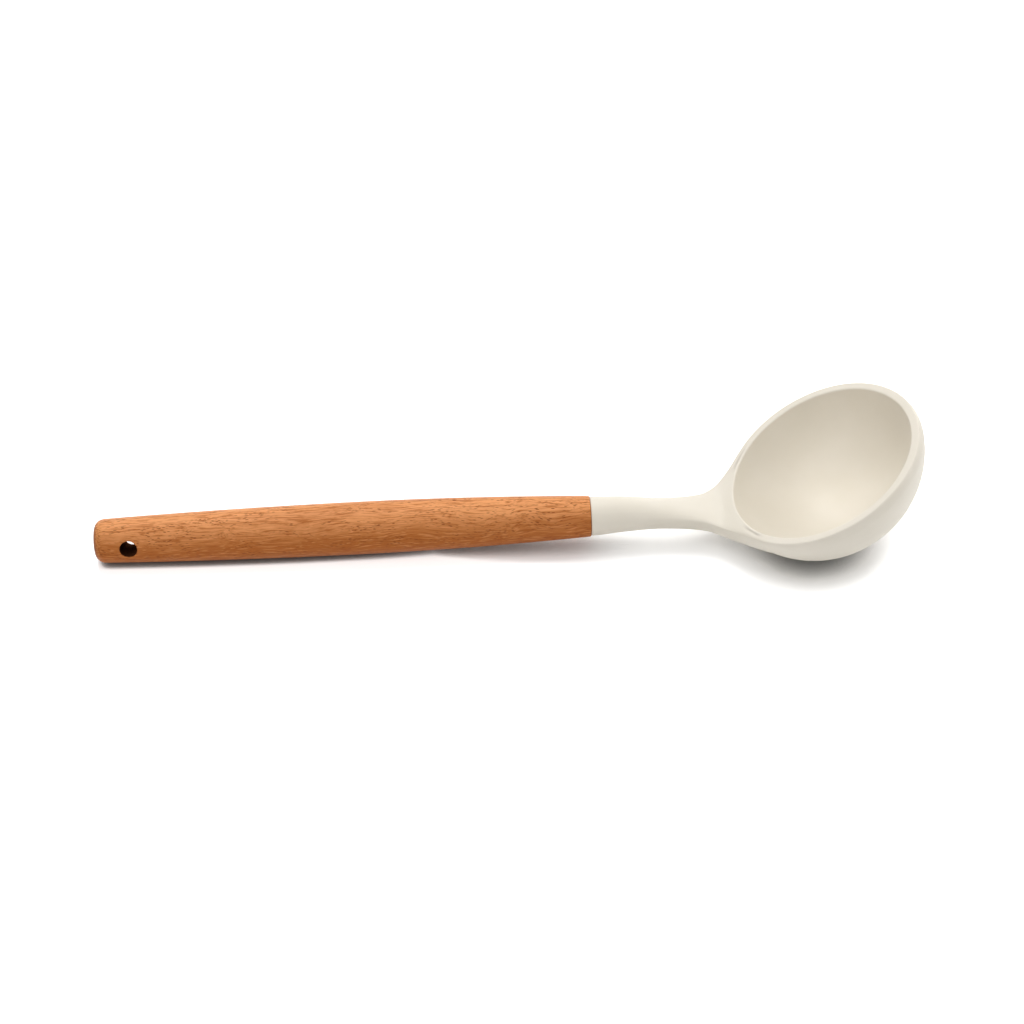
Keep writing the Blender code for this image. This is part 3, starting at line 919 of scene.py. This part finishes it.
def wood_look(name, wood):
    """Oiled wood, with painted light and shade: lit colour with a painted sheen towards one side, shaded
    colour away from it, wavy fibres along X, short pores, light flecks as painted glints and darker end
    grain.
    """
    look = Look(name)
    drift = look.vector("SUBTRACT", look.noise(SWAY, output="Color"), NOISE_MIDDLE)
    grain = look.vector("ADD", look.place, look.vector("MULTIPLY", drift, SWAY_REACH))

    # Painted light and shade: the wood turns from its shaded colour to its lit colour across the side that
    # faces the lamps
    turn = radians(LIT_SIDE_DEGREES)
    across = LADLE.to_3x3() @ Vector((0, cos(turn), sin(turn)))
    middle = across.dot(LADLE.translation)
    side = look.vector("DOT_PRODUCT", grain, across, output="Value")
    painted_light_share = look.between(side, (middle - LIT_SIDE_REACH, middle + LIT_SIDE_REACH))
    colour = look.mix(painted_light_share, wood.shade, wood.light)

    streaks = look.noise(STREAKS, grain)
    colour = look.mix(look.share(look.noise(BANDS, grain), BANDS), colour, wood.dark)
    colour = look.mix(look.share(streaks, STREAKS), colour, wood.dark)
    # Painted glints: small light flecks in the lit colour
    colour = look.mix(look.share(look.noise(GLINT_FLECKS, grain), GLINT_FLECKS), colour, wood.light)

    stretched = look.vector("MULTIPLY", grain, PORE_SCALE)
    cells = add_node(look.tree, "TexVoronoi", {"Vector": stretched, "Scale": 1.0}).outputs["Distance"]
    crowding = look.share(look.noise(PORE_DRIFT, grain), PORE_DRIFT, PORE_LEAST)
    pores = look.number("MULTIPLY", look.between(cells, PORE_SIZE, (1.0, 0.0)), crowding)
    colour = look.mix(pores, colour, wood.pore)

    facing = add_node(look.tree, "NewGeometry").outputs["Normal"]
    endwise = look.number("ABSOLUTE", add_node(look.tree, "SeparateXYZ", {0: facing}).outputs[0])
    colour = look.mix(look.between(endwise, END_GRAIN, (0.0, END_GRAIN_STRENGTH)), colour, wood.pore)

    height = look.number("SUBTRACT", look.number("MULTIPLY", streaks, STREAK_HEIGHT), pores)
    normal = look.bump(height, GRAIN_DEPTH, GRAIN_BUMP)
    rough = look.between(pores, (0.0, 1.0), (FIBRE_ROUGHNESS, PORE_ROUGHNESS))
    return look.finish(Base_Color=colour, Roughness=rough, Normal=normal, Specular_IOR_Level=wood.gloss)


def silicone_look():
    """Matte moulded silicone, with the fine sparkle of an etched mould."""
    look = Look("matte_silicone")
    colour = look.mix(look.share(look.noise(SILICONE_CLOUD), SILICONE_CLOUD), *SILICONE_COLOURS)
    etch = look.noise(SILICONE_ETCH)
    rough = look.between(etch, (SILICONE_ETCH.low, SILICONE_ETCH.high), SILICONE_ROUGHNESS)
    normal = look.bump(etch, ETCH_DEPTH, ETCH_BUMP)
    return look.finish(Base_Color=colour, Roughness=rough, Normal=normal, Specular_IOR_Level=SILICONE_GLOSS)


def cloudy_look(name, pattern, colours, depth, roughness):
    """A plain material that is a little uneven in colour and level."""
    look = Look(name)
    cloud = look.noise(pattern)
    normal = look.bump(cloud, depth, CLOUD_BUMP)
    return look.finish(Base_Color=look.mix(cloud, *colours), Roughness=roughness, Normal=normal)


def nylon_look():
    return cloudy_look("core_nylon", NYLON_CLOUD, NYLON_COLOURS, NYLON_DEPTH, NYLON_ROUGHNESS)


def glue_look():
    return cloudy_look("amber_glue", GLUE_CLOUD, GLUE_COLOURS, GLUE_DEPTH, GLUE_ROUGHNESS)


def dress_node(name, look):
    """Give a node that stays as packed its own material."""
    slots = frame["nodes"][name].data.materials
    slots.clear()
    slots.append(look)


# Table, light and camera

def direction(azimuth, elevation):
    """Unit vector by its degrees round from +X and up from the table."""
    turn = radians(azimuth)
    rise = radians(elevation)
    return Vector((cos(turn) * cos(rise), sin(turn) * cos(rise), sin(rise)))


def openness(tree, reach, elevation):
    """Output that is 1 in the open, and falls where the ladle covers the table on the side of the key."""
    place = add_node(tree, "NewGeometry").outputs["Position"]
    along = add_node(tree, "SeparateXYZ", {0: place}).outputs[0]
    tilt = direction(SHADE_AZIMUTH, elevation)
    towards = add_node(tree, "CombineXYZ", {"X": tilt.x, "Y": tilt.y, "Z": tilt.z}).outputs[0]
    inputs = {"Distance": mapped(tree, along, SHADE_GROWS, reach), "Normal": towards}
    return add_node(tree, "AmbientOcclusion", inputs, samples=SHADE_SAMPLES).outputs["AO"]


def table_look():
    """White paint that darkens close to the ladle as a painted shadow, and a glow for looking rays that fades
    out near it.
    """
    look = bpy.data.materials.new("white_table")
    look.use_nodes = True
    tree = look.node_tree
    tree.nodes.clear()
    near = openness(tree, PAINTED_SHADOW_REACH, PAINTED_SHADOW_ELEVATION)
    # Painted shadow: the paint darkens where the ladle covers the table
    colour = mapped(tree, near, PAINTED_SHADOW_OPENNESS, (TABLE_COLOUR * PAINTED_SHADOW_DARKEST, TABLE_COLOUR))
    paint = add_node(tree, "BsdfDiffuse", {"Color": colour}).outputs[0]
    wide = openness(tree, GLOW_REACH, GLOW_ELEVATION)
    level = mapped(tree, wide, GLOW_OPENNESS, (0.0, TABLE_GLOW), "SMOOTHSTEP")
    seen = add_node(tree, "Math", {0: level, 1: looking_rays(tree)}, operation="MULTIPLY").outputs[0]
    glow = add_node(tree, "Emission", {"Strength": seen}).outputs[0]
    both = add_node(tree, "AddShader", {0: paint, 1: glow}).outputs[0]
    add_node(tree, "OutputMaterial", {"Surface": both})
    return look


def make_table():
    bm = bmesh.new()
    bmesh.ops.create_grid(bm, x_segments=1, y_segments=1, size=TABLE_SIDE / 2)
    mesh = bpy.data.meshes.new("table")
    bm.to_mesh(mesh)
    bm.free()
    mesh.materials.append(table_look())
    table = bpy.data.objects.new("table", mesh)
    bpy.context.scene.collection.objects.link(table)


def make_world():
    """A white room that is only looked at: the lamps give the light."""
    world = bpy.data.worlds.new("studio")
    world.use_nodes = True
    world.cycles.sampling_method = "NONE"
    tree = world.node_tree
    tree.nodes.clear()
    white = add_node(tree, "Background", {"Color": WHITE, "Strength": looking_rays(tree)}).outputs[0]
    add_node(tree, "OutputWorld", {"Surface": white})
    bpy.context.scene.world = world


def aim(thing, target):
    thing.rotation_euler = (target - thing.location).to_track_quat("-Z", "Y").to_euler()


def make_lamps():
    for lamp in LAMPS:
        light = bpy.data.lights.new(lamp.name, "AREA")
        light.shape = "DISK"
        light.size = lamp.size
        light.energy = lamp.power
        item = bpy.data.objects.new(lamp.name, light)
        item.location = direction(lamp.azimuth, lamp.elevation) * LAMP_DISTANCE
        bpy.context.scene.collection.objects.link(item)
        aim(item, Vector((0, 0, 0)))


def make_camera():
    data = bpy.data.cameras.new("camera")
    data.sensor_width = SENSOR_MM
    data.lens = SENSOR_MM * FOCAL_PIXELS / PHOTO_SIDE
    camera = bpy.data.objects.new("camera", data)
    bpy.context.scene.collection.objects.link(camera)
    rise = radians(CAMERA_ELEVATION)
    turn = radians(CAMERA_TURN)
    back = Vector((sin(turn) * cos(rise), -cos(turn) * cos(rise), sin(rise)))
    target = Vector((LADLE.translation.x, 0, 0)) + AIM_FROM_JOINT
    camera.location = target + back * CAMERA_DISTANCE
    camera.rotation_euler = (pi / 2 - rise, 0, turn)
    bpy.context.scene.camera = camera


def main():
    make_handle([wood_look("oiled_wood", OILED_WOOD), wood_look("hole_wood_and_painted_shade", HOLE_WOOD_AND_PAINTED_SHADE)])
    make_head(silicone_look())
    dress_node("nylon_core", nylon_look())
    dress_node("glue_bond", glue_look())
    make_table()
    make_world()
    make_lamps()
    make_camera()
    bpy.context.scene.view_settings.view_transform = "Standard"


main()
